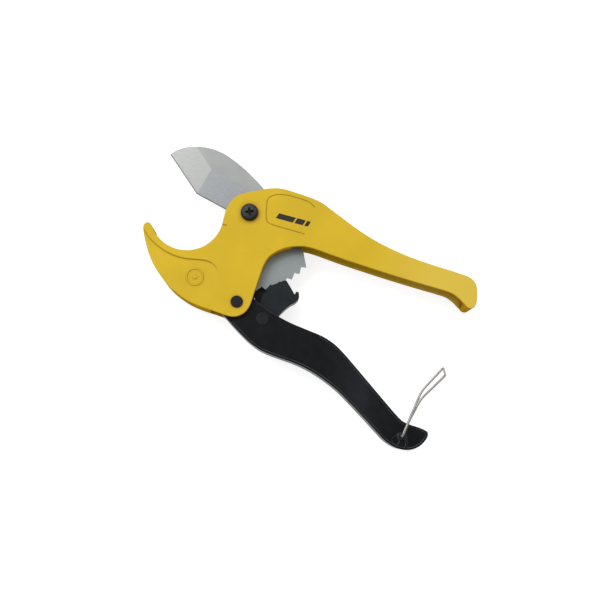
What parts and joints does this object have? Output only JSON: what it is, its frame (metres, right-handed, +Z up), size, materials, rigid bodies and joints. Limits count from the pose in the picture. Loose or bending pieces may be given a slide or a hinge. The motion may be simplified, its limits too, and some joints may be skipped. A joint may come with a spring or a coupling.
{
  "type": "ratchet plastic pipe cutter",
  "caption": "Hand-held ratchet cutter for plastic pipe: cast hooked jaw and upper handle, swinging toothed blade, lower handle with a driving pawl, and a wire latch at the handle's end.",
  "frame": {"origin": "on the blade pivot's axis, in the plane the cutter lies on (the outer face of the pivot's lock nut and screw end)", "axes": "+X along the upper handle towards its end, +Y towards the side the blade opens to, +Z up through the thickness towards the screw's head"},
  "size_m": [0.2076, 0.1344, 0.0227],
  "materials": {
    "body_yellow": "die casting, semi-gloss yellow powder coat",
    "blade_steel": "satin ground steel",
    "black_screw": "black oxide",
    "zinc_steel": "bright zinc",
    "nylon": "natural nylon",
    "handle_black": "gloss black coating",
    "pawl_black": "satin black coating",
    "rivet_black": "black oxide",
    "spring_steel": "oiled spring wire",
    "eyelet_dark": "dark plated",
    "latch_wire": "bright zinc wire"
  },
  "bodies": {
    "body": {"main_body": "body_yellow", "blade_pivot_screw": "black_screw", "blade_pivot_sleeve": "zinc_steel", "blade_washer_near": "zinc_steel", "blade_washer_far": "zinc_steel", "blade_return_spring": "spring_steel", "pivot_nut_washer": "zinc_steel", "pivot_lock_nut": "zinc_steel", "nut_nylon_ring": "nylon", "handle_pivot_rivet": "rivet_black"},
    "blade": {"cutting_blade": "blade_steel"},
    "handle": {"lower_handle": "handle_black", "handle_pivot_sleeve": "zinc_steel", "handle_spring": "spring_steel", "pawl_rivet": "rivet_black"},
    "pawl": {"ratchet_pawl": "pawl_black", "pawl_bush": "zinc_steel", "pawl_spring": "spring_steel"},
    "eyelet": {"latch_eyelet": "eyelet_dark"},
    "bail": {"latch_bail": "latch_wire"}
  },
  "joints": [
    {"name": "blade_swing", "type": "hinge", "parent": "body", "child": "blade", "pos_m": [0, 0, 0.0112], "axis": [0, 0, 1], "range_deg": [-20, 62]},
    {"name": "handle_squeeze", "type": "hinge", "parent": "body", "child": "handle", "pos_m": [0.012, -0.0539, 0.0112], "axis": [0, 0, 1], "range_deg": [0, 28], "stiffness_Nm_per_rad": 0.2, "springref_deg": -17.19},
    {"name": "pawl_swing", "type": "hinge", "parent": "handle", "child": "pawl", "pos_m": [0.0299, -0.0578, 0.0112], "axis": [0, 0, 1], "range_deg": [-58, 0]},
    {"name": "latch_clear", "type": "hinge", "parent": "handle", "child": "eyelet", "pos_m": [0.1309, -0.095, 0.0112], "axis": [0, 0, 1], "range_deg": [-31, 0]},
    {"name": "latch_swing", "type": "hinge", "parent": "eyelet", "child": "bail", "pos_m": [0.1309, -0.095, 0.0112], "axis": [0, 0, 1], "range_deg": [-150, 0]}
  ],
  "couplings": [
    {"joint": "pawl_swing", "follows": "handle_squeeze", "ratio": -2.05},
    {"joint": "latch_clear", "follows": "handle_squeeze", "ratio": -1.1}
  ]
}
